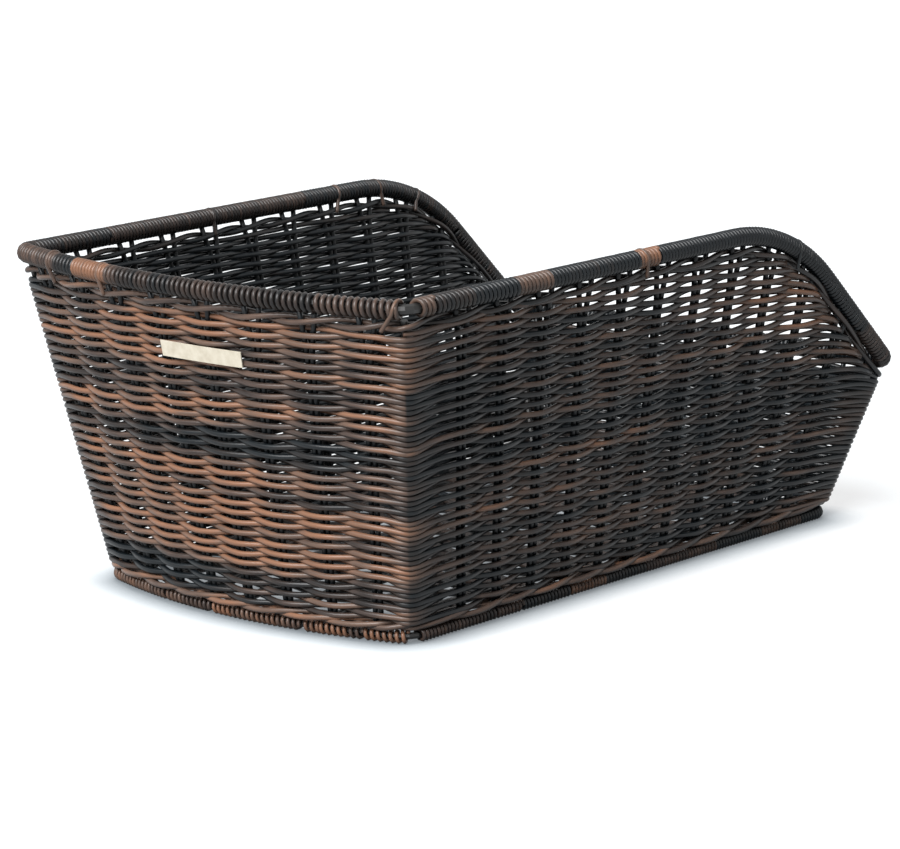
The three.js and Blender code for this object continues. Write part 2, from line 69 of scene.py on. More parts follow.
# Strands of the walls, which are pressed into each other a little
STRAND = 3.35 * MM
STAKE_STRAND = 3.2 * MM
ROW_PITCH = 2.98 * MM
SIDE_STAKES = 11
TALL_END_STAKES = 8
LOW_END_STAKES = 7
END_STAKE_MARGIN = 18 * MM
ROW_CORNER = 5.5 * MM
RIM_WINDING_CORNER = 7 * MM
BASE_WINDING_CORNER = 9 * MM
STEPS_BETWEEN_STAKES = 8
CORNER_STEPS = 5
SIDES_OF_STRAND = 8
# The end of a strand that runs on inside the next one is drawn this much thinner, to stay inside
END_THINNING = 0.98

# Derived places
BASE_WRAP_RADIUS = BASE_ROD / 2 + BASE_STRAND
RIM_WRAP_RADIUS = RIM_ROD / 2 + RIM_STRAND
BASE_LEVEL = BASE_WRAP_RADIUS - UNDERSIDE_FLAT
RIM_LEVEL = BASE_LEVEL + RIM_HEIGHT
LOW_LEVEL = BASE_LEVEL + LOW_END_HEIGHT
ORIGIN_X = (BASE_LENGTH + LOW_END_REACH - TALL_END_LEAN - RIM_BOW) / 2
APEX_X = LEVEL_RIM_LENGTH - TALL_END_LEAN - ORIGIN_X
LOW_BAR_X = BASE_LENGTH + LOW_END_REACH - ORIGIN_X
SLOPE = math.atan2(RIM_LEVEL - LOW_LEVEL, LOW_BAR_X - APEX_X)
BEND_START_X = APEX_X - BEND_RADIUS * math.tan(SLOPE / 2)
BEND_END_X = APEX_X + BEND_RADIUS * math.tan(SLOPE / 2) * math.cos(SLOPE)


def rim_level_at(x):
    """Height of the rim rod over a place on a long side: level, a round bend, a straight slope."""
    if x <= BEND_START_X:
        return RIM_LEVEL
    if x >= BEND_END_X:
        return RIM_LEVEL - (x - APEX_X) * math.tan(SLOPE)
    return RIM_LEVEL - BEND_RADIUS + math.sqrt(BEND_RADIUS ** 2 - (x - BEND_START_X) ** 2)


def base_level_at(x):
    return BASE_LEVEL


def spread(start, end, count):
    return [start + (end - start) * i / count for i in range(count + 1)]


def curved(start, turn, end, s):
    """A point of the quadratic curve that leaves start towards turn and reaches end."""
    return start * (1 - s) ** 2 + turn * (2 * s * (1 - s)) + end * s ** 2


class Ring:
    """A line round the basket, such as a rod's centre line, with corners as tight as wanted."""

    def __init__(self, tall_x, low_x, half_width, bow, rod_corner, corner, level_at):
        self.tall_x = tall_x
        self.low_x = low_x
        self.half_width = half_width
        self.bow = bow
        self.level_at = level_at
        self.rod_run = self.straight_run(rod_corner)
        self.run = self.straight_run(corner)
        self.end_turn = 1 - corner / half_width

    def straight_run(self, corner):
        """Where a long side is straight, between corners of that length."""
        low_rise = self.level_at(self.low_x - corner) - self.level_at(self.low_x)
        low_slope = math.atan2(low_rise, corner)
        return self.tall_x + corner, self.low_x - corner * math.cos(low_slope)

    def side(self, side, x):
        """A place on a long side, which is 1 for the left and -1 for the right."""
        return np.array((x, side * self.half_width, self.level_at(x)))

    def tall_end(self, t):
        """A place on the bowed tall end, with t from -1 at the right to 1 at the left."""
        x = self.tall_x - self.bow * (1 - t * t)
        return np.array((x, t * self.half_width, self.level_at(self.tall_x)))

    def low_end(self, t):
        return np.array((self.low_x, t * self.half_width, self.level_at(self.low_x)))

    def tall_corner(self, side, s):
        """A place on a tall corner, from the side at s = 0 to the end at s = 1."""
        start = self.side(side, self.run[0])
        turn = start.copy()
        turn[0] = self.tall_x - self.bow * (1 - self.end_turn) ** 2
        return curved(start, turn, self.tall_end(side * self.end_turn), s)

    def low_corner(self, side, s):
        start, turn = self.side(side, self.run[1]), self.low_end(side)
        return curved(start, turn, self.low_end(side * self.end_turn), s)

    def side_marks(self):
        """Both ends of a long side's straight run, and the stakes between them."""
        start, end = self.rod_run
        stakes = spread(start, end, SIDE_STAKES + 1)[1:-1]
        return [self.run[0], *stakes, self.run[1]]

    def end_marks(self, stakes):
        """Both ends of an end's run, and the stakes between them, from the left to the right."""
        outermost = 1 - END_STAKE_MARGIN / (BASE_WIDTH / 2)
        return [self.end_turn, *spread(outermost, -outermost, stakes - 1), -self.end_turn]


def base_ring(corner):
    low_x = BASE_LENGTH - ORIGIN_X
    return Ring(-ORIGIN_X, low_x, BASE_WIDTH / 2, BASE_BOW, BASE_CORNER, corner, base_level_at)


def rim_ring(corner):
    tall_x = -TALL_END_LEAN - ORIGIN_X
    return Ring(tall_x, LOW_BAR_X, RIM_WIDTH / 2, RIM_BOW, RIM_CORNER, corner, rim_level_at)


row_rings = base_ring(ROW_CORNER), rim_ring(ROW_CORNER)


def unit(vectors):
    """Vectors of length one, for one vector or for rows of them."""
    return vectors / np.linalg.norm(vectors, axis=-1, keepdims=True)


def tangents(points, joined=False):
    """The direction in which a line of points runs, at each of them."""
    if joined:
        return unit(np.roll(points, -1, axis=0) - np.roll(points, 1, axis=0))
    return unit(np.gradient(points, axis=0))


# Stations: places round the basket where the walls are ruled from the base ring to the rim, from
# the middle of the left tall corner over the tall end, the right side and the low end.
# A knot is what a row passes: a stake, or the post in a corner.
Station = namedtuple("Station", "wall base rim knot")


def wall_stations(wall, place, marks_of, corner_in, corner_out):
    """Stations of one wall, from the middle of one corner to the middle of the next."""
    lines = []
    for ring in row_rings:
        marks = marks_of(ring)
        line = [corner_in(ring, s) for s in spread(0.5, 0, CORNER_STEPS)]
        for a, b in zip(marks, marks[1:]):
            line += [place(ring, value) for value in spread(a, b, STEPS_BETWEEN_STAKES)[1:]]
        line += [corner_out(ring, s) for s in spread(0, 0.5, CORNER_STEPS)[1:]]
        lines.append(line)
    last = len(lines[0]) - 1
    knots = {0: "post", last: "post"}
    for i in range(CORNER_STEPS + STEPS_BETWEEN_STAKES, last - CORNER_STEPS, STEPS_BETWEEN_STAKES):
        knots[i] = "stake"
    return [Station(wall, base, rim, knots.get(i)) for i, (base, rim) in enumerate(zip(*lines))]


# For each wall: its places and marks, and the corners before and after it
WALL_PLANS = {
    "tall_end": (
        Ring.tall_end,
        lambda ring: ring.end_marks(TALL_END_STAKES),
        lambda ring, s: ring.tall_corner(1, 1 - s),
        lambda ring, s: ring.tall_corner(-1, 1 - s),
    ),
    "right": (
        lambda ring, x: ring.side(-1, x),
        Ring.side_marks,
        lambda ring, s: ring.tall_corner(-1, s),
        lambda ring, s: ring.low_corner(-1, s),
    ),
    "low_end": (
        lambda ring, t: ring.low_end(-t),
        lambda ring: ring.end_marks(LOW_END_STAKES),
        lambda ring, s: ring.low_corner(-1, 1 - s),
        lambda ring, s: ring.low_corner(1, 1 - s),
    ),
    "left": (
        lambda ring, x: ring.side(1, x),
        lambda ring: ring.side_marks()[::-1],
        lambda ring, s: ring.low_corner(1, s),
        lambda ring, s: ring.tall_corner(1, s),
    ),
}
WALLS = {wall: wall_stations(wall, *plan) for wall, plan in WALL_PLANS.items()}
stations = [station for wall in WALLS.values() for station in wall[:-1]]
STATION_COUNT = len(stations)
base_line = np.array([station.base for station in stations])
rim_line = np.array([station.rim for station in stations])
base_run = tangents(base_line, joined=True)
rim_run = tangents(rim_line, joined=True)
middle_line = (base_line + rim_line) / 2
steps_round = np.linalg.norm(np.roll(middle_line, -1, axis=0) - middle_line, axis=1)
reach_round = np.concatenate(([0], np.cumsum(steps_round)))
knot_numbers = [i for i, station in enumerate(stations) if station.knot]
KNOT_COUNT = len(knot_numbers)
steepness = np.minimum(np.abs(rim_run[:, 2]) / np.hypot(rim_run[:, 0], rim_run[:, 1]), 1.0)


def knot_phases():
    """How many knots come before each station, with the share of the way to the next one."""
    phases = np.zeros(STATION_COUNT)
    bounds = [*knot_numbers, STATION_COUNT]
    for number, (start, end) in enumerate(zip(bounds, bounds[1:])):
        way = reach_round[start:end] - reach_round[start]
        phases[start:end] = number + way / (reach_round[end] - reach_round[start])
    return phases


knot_phase = knot_phases()


def nearness_of_posts():
    """1 at a corner post, falling to 0 at the stakes next to it."""
    at_knots = np.array([1.0 if stations[i].knot == "post" else 0.0 for i in knot_numbers])
    return np.interp(knot_phase, np.arange(KNOT_COUNT + 1), np.append(at_knots, at_knots[0]))


post_near = nearness_of_posts()


# Far enough apart that two kinds of unevenness have nothing in common
HAND_SEED_STEP = 7.31


def hand(x, y, seed):
    """A smooth, repeatable unevenness between about -1 and 1, as a weaver's hand leaves. It changes
    over a step of about 1 in x or y."""
    return noise.noise(Vector((x, y, seed * HAND_SEED_STEP)))


def wall_surface(index, level):
    """Point, run and outward direction of the walls' middle surface at a station and height."""
    base, rim = base_line[index], rim_line[index]
    share = (level - base[2]) / (rim[2] - base[2])
    point = base + (rim - base) * share
    run = unit(base_run[index] * (1 - share) + rim_run[index] * share)
    out = unit(np.cross(run, rim - base))
    if out[:2] @ point[:2] < 0:
        out = -out
    return point, run, out


class Strands:
    """Round strands in one mesh, with how far along its strand a point is, and its shade."""

    def __init__(self):
        self.points = []
        self.faces = []
        self.tones = []
        self.corner_uv = []
        self.count = 0

    def add(self, line, normals, radius, tones, sides=SIDES_OF_STRAND, closed=False, start=0.0):
        """A tube along a line of points. normals say where its first corner points."""
        line = np.asarray(line, float)
        runs = tangents(line, joined=closed)
        normals = unit(normals - runs * np.sum(normals * runs, axis=1)[:, None])
        across = np.cross(runs, normals)
        angles = np.arange(sides) * 2 * math.pi / sides
        around = (
            np.cos(angles)[None, :, None] * normals[:, None, :]
            + np.sin(angles)[None, :, None] * across[:, None, :]
        )
        rings = len(line)
        radius = np.broadcast_to(np.asarray(radius, float), (rings,))
        ring = line[:, None, :] + radius[:, None, None] * around
        steps = np.linalg.norm(np.diff(line, axis=0, append=line[:1]), axis=1)
        along = start + np.concatenate(([0], np.cumsum(steps)))
        spans = rings if closed else rings - 1
        first = self.count
        i = np.arange(spans)[:, None]
        k = np.arange(sides)[None, :]
        here, there = first + i * sides, first + (i + 1) % rings * sides
        beside = (k + 1) % sides
        quads = np.stack((here + k, here + beside, there + beside, there + k), axis=-1)
        self.faces.append(quads.reshape(-1, 4))
        u0 = np.broadcast_to(along[:spans, None], (spans, sides))
        u1 = np.broadcast_to(along[1 : spans + 1, None], (spans, sides))
        v0 = np.broadcast_to(k / sides, (spans, sides))
        v1 = v0 + 1 / sides
        self.corner_uv.append(np.stack((u0, v0, u0, v1, u1, v1, u1, v0), axis=-1).reshape(-1, 4, 2))
        self.points.append(ring.reshape(-1, 3))
        tones = np.broadcast_to(np.asarray(tones, float), (rings,))
        self.tones.append(np.repeat(tones, sides))
        self.count += rings * sides
        if not closed:
            last = first + (rings - 1) * sides
            self.cap(ring[0], first, runs[0] * -radius[0] / 3, tones[0], along[0], True)
            self.cap(ring[-1], last, runs[-1] * radius[-1] / 3, tones[-1], along[rings - 1], False)

    def cap(self, ring, first, bulge, tone, along, backwards):
        """Closes a strand's cut end with a low cone."""
        sides = len(ring)
        tip = np.full(sides, self.count)
        self.points.append((ring.mean(axis=0) + bulge)[None, :])
        self.tones.append(np.array([tone]))
        self.count += 1
        k = np.arange(sides)
        a, b = first + k, first + (k + 1) % sides
        pair = (b, a) if backwards else (a, b)
        self.faces.append(np.stack((*pair, tip, np.full(sides, -1)), axis=-1))
        self.corner_uv.append(np.full((sides, 4, 2), along))

    def piece(self, name, material, slot, replaced=()):
        """The finished mesh, riding on the one body."""
        faces = np.concatenate(self.faces)
        kept = faces >= 0
        totals = kept.sum(axis=1)
        mesh = bpy.data.meshes.new(name)
        mesh.vertices.add(self.count)
        mesh.vertices.foreach_set("co", np.concatenate(self.points).astype(np.float32).ravel())
        mesh.loops.add(int(totals.sum()))
        mesh.loops.foreach_set("vertex_index", faces[kept].astype(np.int32))
        mesh.polygons.add(len(faces))
        mesh.polygons.foreach_set("loop_start", (np.cumsum(totals) - totals).astype(np.int32))
        mesh.polygons.foreach_set("use_smooth", np.ones(len(faces), bool))
        mesh.update(calc_edges=True)
        layer = mesh.uv_layers.new(name="strand")
        corner_uv = np.concatenate(self.corner_uv)[kept]
        layer.data.foreach_set("uv", corner_uv.astype(np.float32).ravel())
        tone = mesh.attributes.new("tone", "FLOAT", "POINT")
        tone.data.foreach_set("value", np.concatenate(self.tones).clip(0, 1).astype(np.float32))
        mesh.validate()
        mesh.materials.append(material)
        piece = bpy.data.objects.new(name, mesh)
        bpy.context.scene.collection.objects.link(piece)
        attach(piece, "root")
        if replaced:
            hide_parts(*replaced)


# Materials
def linear(hex_colour):
    """sRGB hex to linear."""
    channels = [int(hex_colour[i : i + 2], 16) / 255 for i in (1, 3, 5)]
    curve = (c / 12.92 if c <= 0.04045 else ((c + 0.055) / 1.055) ** 2.4 for c in channels)
    return (*curve, 1.0)


def add_node(owner, kind, settings=None, links=None):
    """A shader node, with its settings, input values or ramp stops, and links into its inputs."""
    node = owner.node_tree.nodes.new(kind)
    for name, value in (settings or {}).items():
        if name == "stops":
            elements = node.color_ramp.elements
            while len(elements) < len(value):
                elements.new(0.5)
            for element, (place, colour) in zip(elements, value):
                element.position = place
                element.color = linear(colour)
        elif name in node.inputs and not hasattr(node, name):
            node.inputs[name].default_value = value
        else:
            setattr(node, name, value)
    for name, output in (links or {}).items():
        owner.node_tree.links.new(output, node.inputs[name])
    return node


def new_material(name):
    material = bpy.data.materials.new(name)
    material.use_nodes = True
    material.node_tree.nodes.clear()
    return material


def skin(material, stops, pattern, relief, roughness, ior):
    """The finished surface: its shades follow one pattern, and its fine relief another."""
    shade = add_node(material, "ShaderNodeValToRGB", {"stops": stops}, {"Fac": pattern})
    height, strength, distance = relief
    bump = add_node(
        material,
        "ShaderNodeBump",
        {"Strength": strength, "Distance": distance},
        {"Height": height},
    )
    surface = add_node(
        material,
        "ShaderNodeBsdfPrincipled",
        {"Roughness": roughness, "IOR": ior},
        {"Base Color": shade.outputs["Color"], "Normal": bump.outputs["Normal"]},
    )
    add_node(material, "ShaderNodeOutputMaterial", links={"Surface": surface.outputs[0]})
    return material


# Shades of the strand, from blue black at 0 to orange brown at 1
STRAND_SHADES = (
    (0.0, "#080c10"),
    (0.25, "#101518"),
    (0.45, "#231e1c"),
    (0.62, "#3e332e"),
    (0.8, "#58463c"),
    (1.0, "#745340"),
)
# Polyethylene has 1.5. Less matches the real strands, which stay dark under a white sky.
STRAND_IOR = 1.35
# How many streaks and lines from the die there are in a metre of strand, and round it. The streaks
# are about 25 mm long and go a third of the way round, and the lines are about 17 mm long.
STREAK_SCALE = (40.0, 3.0, 1.0)
LINE_SCALE = (60.0, 14.0, 1.0)
# How far a streak changes the shade
STREAK_CHANGE = 0.14


def drawn_pattern(material, place, scale, settings):
    """An uneven pattern drawn out along a strand."""
    along = add_node(material, "ShaderNodeMapping", {"Scale": scale}, {"Vector": place})
    noise_in = {"Vector": along.outputs[0]}
    return add_node(material, "ShaderNodeTexNoise", settings, noise_in).outputs["Fac"]


def polyethylene_strand(name, roughness):
    """Extruded polyethylene strand in mixed colours: a satin skin, with fine streaks along it."""
    material = new_material(name)
    tone = add_node(material, "ShaderNodeAttribute", {"attribute_name": "tone"})
    place = add_node(material, "ShaderNodeUVMap", {"uv_map": "strand"}).outputs["UV"]
    broad = {"Scale": 1.0, "Detail": 3.0, "Roughness": 0.6}
    streaks = add_node(
        material,
        "ShaderNodeMapRange",
        {"From Min": 0.3, "From Max": 0.7, "To Min": -STREAK_CHANGE, "To Max": STREAK_CHANGE},
        {"Value": drawn_pattern(material, place, STREAK_SCALE, broad)},
    )
    mixed = add_node(
        material,
        "ShaderNodeMath",
        {"operation": "ADD", "use_clamp": True},
        {0: tone.outputs["Fac"], 1: streaks.outputs[0]},
    )
    lines = drawn_pattern(material, place, LINE_SCALE, {"Scale": 1.0, "Detail": 2.0})
    relief = (lines, 0.25, 0.2 * MM)
    return skin(material, STRAND_SHADES, mixed.outputs[0], relief, roughness, STRAND_IOR)


ENAMEL_SHADES = ((0.3, "#090909"), (0.7, "#131211"))


def enamelled_steel():
    """Drawn steel rod under black enamel: satin, with slight orange peel of about a millimetre."""
    material = new_material("enamelled_steel_rod")
    place = add_node(material, "ShaderNodeTexCoord")
    peel = add_node(
        material,
        "ShaderNodeTexNoise",
        {"Scale": 900.0, "Detail": 2.0},
        {"Vector": place.outputs["Object"]},
    ).outputs["Fac"]
    return skin(material, ENAMEL_SHADES, peel, (peel, 0.2, 0.1 * MM), roughness=0.45, ior=1.5)


PLATE_SHADES = ((0.3, "#b4ab99"), (0.55, "#c4bcab"), (0.8, "#cfc8b9"))


def cream_plate():
    """Cream moulded plastic, matt, a little uneven and faintly soiled in patches of some 7 mm."""
    material = new_material("cream_moulded_plastic")
    place = add_node(material, "ShaderNodeTexCoord")
    soil = add_node(
        material,
        "ShaderNodeTexNoise",
        {"Scale": 140.0, "Detail": 5.0, "Roughness": 0.65},
        {"Vector": place.outputs["Object"]},
    ).outputs["Fac"]
    return skin(material, PLATE_SHADES, soil, (soil, 0.3, 0.1 * MM), roughness=0.5, ior=1.5)


row_strand = polyethylene_strand("woven_polyethylene_strand", 0.36)
stake_strand = polyethylene_strand("stake_polyethylene_strand", 0.38)
wound_strand = polyethylene_strand("wound_polyethylene_strand", 0.34)
steel = enamelled_steel()
plate_plastic = cream_plate()

# Rows
FOOT_LEVEL = BASE_LEVEL + BASE_WRAP_RADIUS
WALING_HEIGHT = 5.6 * MM
FIRST_ROW_LEVEL = FOOT_LEVEL + WALING_HEIGHT
LAST_ROW_DROP = 12 * MM
ROW_COUNT = int((RIM_LEVEL - LAST_ROW_DROP - FIRST_ROW_LEVEL) / ROW_PITCH) + 1
ROW_DRIFT = 0.35 * MM
# How far a row passes in front of or behind a stake, and how unevenly. It goes outside the posts.
KNOT_REACH = 3.0 * MM
KNOT_SPREAD = 0.2
POST_REACH = 3.75 * MM
POST_SHIFT = -1.65 * MM
# How far the rows bend down below the slope of the rim, and how far below it this dies out
BEND_DEPTH = 12.5 * MM
BEND_FADE = 11 * MM
# How far a row wanders up and down, and how far above the foot it does so fully. It wanders broadly
# and finely: the share, length and height of each.
WANDER_UP = 1.0 * MM
WANDER_FADE = 40 * MM
WANDERS = ((1.0, 45 * MM, 14 * MM), (0.45, 15 * MM, 2.2 * MM))
# How far a row sinks at the posts, and how far below the rim it does so fully
POST_DIP = 2.2 * MM
DIP_FADE = 50 * MM
# How near the rim's height each row of four comes on the slope before it turns back into the wall
ROW_STOPS = (9 * MM, 3 * MM, 6 * MM, 1 * MM)
# How far below the rim rod the rows keep, on each wall's level part and on the slopes
ROW_CLEARS = {"tall_end": 13.5 * MM, "right": 10.6 * MM, "low_end": 11.9 * MM, "left": 13.5 * MM}
SLOPE_ROW_CLEAR = 11.5 * MM
# Rows just below that limit are tucked closer to the wall's middle, down to this share
TUCK_LEAST = 0.3
TUCK_FADE = 3 * MM


def row_level(row):
    return FIRST_ROW_LEVEL + row * ROW_PITCH + ROW_DRIFT * hand(row * 0.37, 0.5, 3)


def bent_level(index, level):
    """Height of a row before it wanders: near the slope of the rim the rows bend down along it."""
    below = rim_line[index, 2] - level
    bend = math.exp(-max(below, 0) / BEND_FADE) - math.exp(-(RIM_LEVEL - level) / BEND_FADE)
    return level - BEND_DEPTH * bend


def level_at(index, level):
    """Height of a row at a station, as the weaver's hand left it, a little lower at the posts."""
    below = rim_line[index, 2] - level
    fade = min(1.0, (level - BASE_LEVEL) / WANDER_FADE)
    wander = 0.0
    for seed, (share, length, height) in enumerate(WANDERS, 1):
        wander += share * hand(reach_round[index] / length, level / height, seed)
    dip = POST_DIP * min(fade, max(0.0, below / DIP_FADE), 1.0) * post_near[index] ** 2
    return bent_level(index, level) + WANDER_UP * fade * wander - dip


def row_offsets(row):
    """How far a row lies outside the walls' middle surface, at each station."""
    at_knots = []
    stake_number = 0
    for index in knot_numbers:
        if stations[index].knot == "post":
            at_knots.append(POST_SHIFT + POST_REACH)
            continue
        way = 1 if (stake_number + row) % 2 == 0 else -1
        uneven = 1 + KNOT_SPREAD * hand(row * 0.9, stake_number * 1.7, 5)
        at_knots.append(way * KNOT_REACH * uneven)
        stake_number += 1
    at_knots.append(at_knots[0])
    before = knot_phase.astype(int)
    ease = (1 - np.cos(math.pi * (knot_phase - before))) / 2
    at_knots = np.array(at_knots)
    return at_knots[before] * (1 - ease) + at_knots[before + 1] * ease


# Broad patches of colour, most where the weaver took another strand. The lighter strip up the
# whole height of the tall end beside its right corner is painted highlight. For each: the wall,
# where the middle of the patch is as a share of the wall's length and of its height, its half
# length and half height, and how much lighter or darker it is
STRAND_PATCHES_AND_PAINTED_HIGHLIGHT = (
    ("tall_end", 0.70, 0.57, 0.34, 0.05, -0.42),
    ("tall_end", 0.75, 0.83, 0.28, 0.07, -0.30),
    ("tall_end", 0.40, 0.10, 0.60, 0.05, -0.34),
    ("tall_end", 0.20, 0.70, 0.12, 0.10, -0.12),
    ("tall_end", 0.55, 0.30, 0.45, 0.12, 0.16),
    # Painted highlight: a lighter strip up the tall end beside its right corner, where the light
    # falls
    ("tall_end", 0.97, 0.50, 0.06, 0.60, 0.14),
    ("right", 0.12, 0.72, 0.20, 0.05, -0.30),
    ("right", 0.45, 0.62, 0.25, 0.04, 0.20),
    ("right", 0.25, 0.30, 0.25, 0.10, 0.10),
    ("right", 0.60, 0.42, 0.30, 0.05, -0.28),
    ("right", 0.30, 0.10, 0.40, 0.05, -0.30),
    ("right", 0.75, 0.75, 0.20, 0.06, 0.18),
)
WALL_TONES = {"tall_end": 0.77, "right": 0.45, "low_end": 0.22, "left": 0.22}
WALING_TONES = {"tall_end": 0.8, "right": 0.72, "low_end": 0.25, "left": 0.25}
BORDER_TONES = {"tall_end": 0.7, "right": 0.42, "low_end": 0.35, "left": 0.3}
TONE_SPREADS = {"tall_end": 1.0, "right": 1.15, "low_end": 0.45, "left": 0.55}
TONE_BLEND = 14 * MM
# How much the shade changes in streaks a few rows high, from row to row and in short flecks, and
# over what length and height
STREAK_TONE = 0.55
STREAK_LENGTH = 230 * MM
STREAK_HEIGHT = 13 * MM
ROW_TONE = 0.26
ROW_TONE_LENGTH = 150 * MM
FLECK_TONE = 0.2
FLECK_LENGTH = 26 * MM


def wall_span(wall):
    """Distance round the basket at which a wall starts, and how long it is."""
    numbers = [i for i, station in enumerate(stations) if station.wall == wall]
    return reach_round[numbers[0]], reach_round[numbers[-1] + 1] - reach_round[numbers[0]]


wall_spans = {wall: wall_span(wall) for wall in WALLS}


def blended(by_wall):
    """A value at each station from one for each wall, blended at the corners."""
    marks = []
    for start, length in wall_spans.values():
        marks += [start + TONE_BLEND, start + (length - TONE_BLEND)]
    values = [by_wall[wall] for wall in WALLS for _ in range(2)]
    return np.interp(reach_round[:-1], marks, values, period=reach_round[-1])


def blended_to_slope(by_wall, on_slope):
    """The same, going over to another value along the slopes of the rim."""
    values = blended(by_wall)
    return values + (on_slope - values) * steepness


wall_tones = blended(WALL_TONES)
row_clears = blended_to_slope(ROW_CLEARS, SLOPE_ROW_CLEAR)


def tone_at(index, level, strand_number):
    """Shade of a row's strand at a place: the wall's, with streaks, flecks and broad patches, one
    of which is a painted highlight.
    """
    wall = stations[index].wall
    start, length = wall_spans[wall]
    s = reach_round[index]
    tone = wall_tones[index]
    mixed = STREAK_TONE * hand(s / STREAK_LENGTH, level / STREAK_HEIGHT, 11)
    mixed += ROW_TONE * hand(s / ROW_TONE_LENGTH, strand_number * 3.1, 12)
    mixed += FLECK_TONE * hand(s / FLECK_LENGTH, strand_number * 5.3, 13)
    tone += mixed * TONE_SPREADS[wall]
    share, height = (s - start) / length, level / RIM_LEVEL
    # Patches of strand colour, and the painted highlight beside the tall end's right corner
    for patch_wall, x, z, half_length, half_height, change in STRAND_PATCHES_AND_PAINTED_HIGHLIGHT:
        if patch_wall == wall:
            away = ((share - x) / half_length) ** 2 + ((height - z) / half_height) ** 2
            tone += change * math.exp(-away ** 2)
    return tone


def open_to_rim(index, row, level):
    """Whether a row still runs at a station, or has stopped below the slope of the rim."""
    clear = rim_line[index, 2] - bent_level(index, level)
    stop = ROW_STOPS[row % len(ROW_STOPS)] * steepness[index]
    return clear > row_clears[index] and rim_line[index, 2] - level > stop


def unbroken(numbers):
    """Parts of a rising list, parted wherever it skips a number."""
    cuts = [i for i in range(1, len(numbers)) if numbers[i] != numbers[i - 1] + 1]
    return [numbers[a:b] for a, b in zip([0] + cuts, cuts + [len(numbers)])]


def woven_rows():
    """All rows, in one piece for each wall. At the corners each runs on inside the next."""
    gathered = {wall: Strands() for wall in WALLS}
    starts = [i for i in range(STATION_COUNT) if stations[i].wall != stations[i - 1].wall]
    ends = [*starts[1:], STATION_COUNT]
    for row in range(ROW_COUNT):
        level = row_level(row)
        offsets = row_offsets(row)
        points = np.zeros((STATION_COUNT, 3))
        outs = np.zeros((STATION_COUNT, 3))
        tones = np.zeros(STATION_COUNT)
        runs_on = np.zeros(STATION_COUNT, bool)
        for index in range(STATION_COUNT):
            height = level_at(index, level)
            point, _, out = wall_surface(index, height)
            clear = rim_line[index, 2] - height
            tuck = min(1.0, max(TUCK_LEAST, (clear - row_clears[index]) / TUCK_FADE))
            points[index] = point + out * offsets[index] * tuck
            outs[index] = out
            tones[index] = tone_at(index, height, row)
            runs_on[index] = open_to_rim(index, row, level)
        for start, end in zip(starts, ends):
            strands = gathered[stations[start].wall]
            kept = [i for i in range(start - 1, end + 2) if runs_on[i % STATION_COUNT]]
            for run in unbroken(kept):
                if len(run) < STEPS_BETWEEN_STAKES:
                    continue
                numbers = [i % STATION_COUNT for i in run]
                radius = np.full(len(numbers), STRAND / 2)
                radius[[0, -1]] *= END_THINNING
                line, normals, shades = points[numbers], outs[numbers], tones[numbers]
                strands.add(line, normals, radius, shades, start=reach_round[start])
    for wall, strands in gathered.items():
        strands.piece(f"{wall}_rows", row_strand, "woven_strand", [f"woven_wall_{wall}"])


woven_rows()


# Stake pairs: their heads part below the rim and go into its winding
HEAD_HEIGHT = 24 * MM
HEAD_PARTING = 3.9 * MM
PARTING_SPREAD = 0.5
STAKE_STEPS = 26
# How deep the feet and the heads go into the windings, as a share of the winding's radius
FOOT_DEPTH = 0.6
HEAD_DEPTH = 0.8
PAIR_GAP = 0.15 * MM
STAKE_SWAY = 0.9 * MM
SWAY_HEIGHT = 50 * MM
STAKE_TONE = 0.14
STAKE_TONE_SPREAD = 0.2


def stake_line(index, way):
    """One strand of a pair, from the base winding up to the rim winding."""
    foot = BASE_LEVEL + BASE_WRAP_RADIUS * FOOT_DEPTH
    top = rim_line[index, 2] - RIM_WRAP_RADIUS * HEAD_DEPTH
    beside = STAKE_STRAND / 2 + PAIR_GAP * (1 + hand(index * 0.31, way, 21))
    parting = HEAD_PARTING * (1 + PARTING_SPREAD * hand(index * 0.47, way, 22))
    points = []
    for level in np.linspace(foot, top, STAKE_STEPS):
        point, run, _ = wall_surface(index, level)
        head = max(0.0, 1 - (top - level) / HEAD_HEIGHT)
        sway = STAKE_SWAY * hand(index * 0.53, level / SWAY_HEIGHT, 24)
        points.append(point + run * (way * (beside + parting * head) + sway))
    return np.array(points)


def stake_pairs():
    for wall in WALLS:
        strands = Strands()
        of_wall = [i for i in knot_numbers if stations[i].wall == wall]
        stakes = [i for i in of_wall if stations[i].knot == "stake"]
        for index in stakes:
            _, _, out = wall_surface(index, LOW_LEVEL)
            for way in (-1, 1):
                line = stake_line(index, way)
                tone = STAKE_TONE + STAKE_TONE_SPREAD * hand(index * 0.77, way, 23)
                strands.add(line, np.broadcast_to(out, line.shape), STAKE_STRAND / 2, tone)
        replaced = [f"{wall}_stake_pair_{i + 1:02d}" for i in range(len(stakes))]
        strands.piece(f"{wall}_stakes", stake_strand, "stake_strand", replaced)


stake_pairs()


# How far a band's strands stray up and down and how much their shade changes, and over what length
TWINE_DRIFT = 0.9 * MM
TWINE_DRIFT_LENGTH = 60 * MM
TWINE_TONE = 0.35
TWINE_TONE_LENGTH = 100 * MM


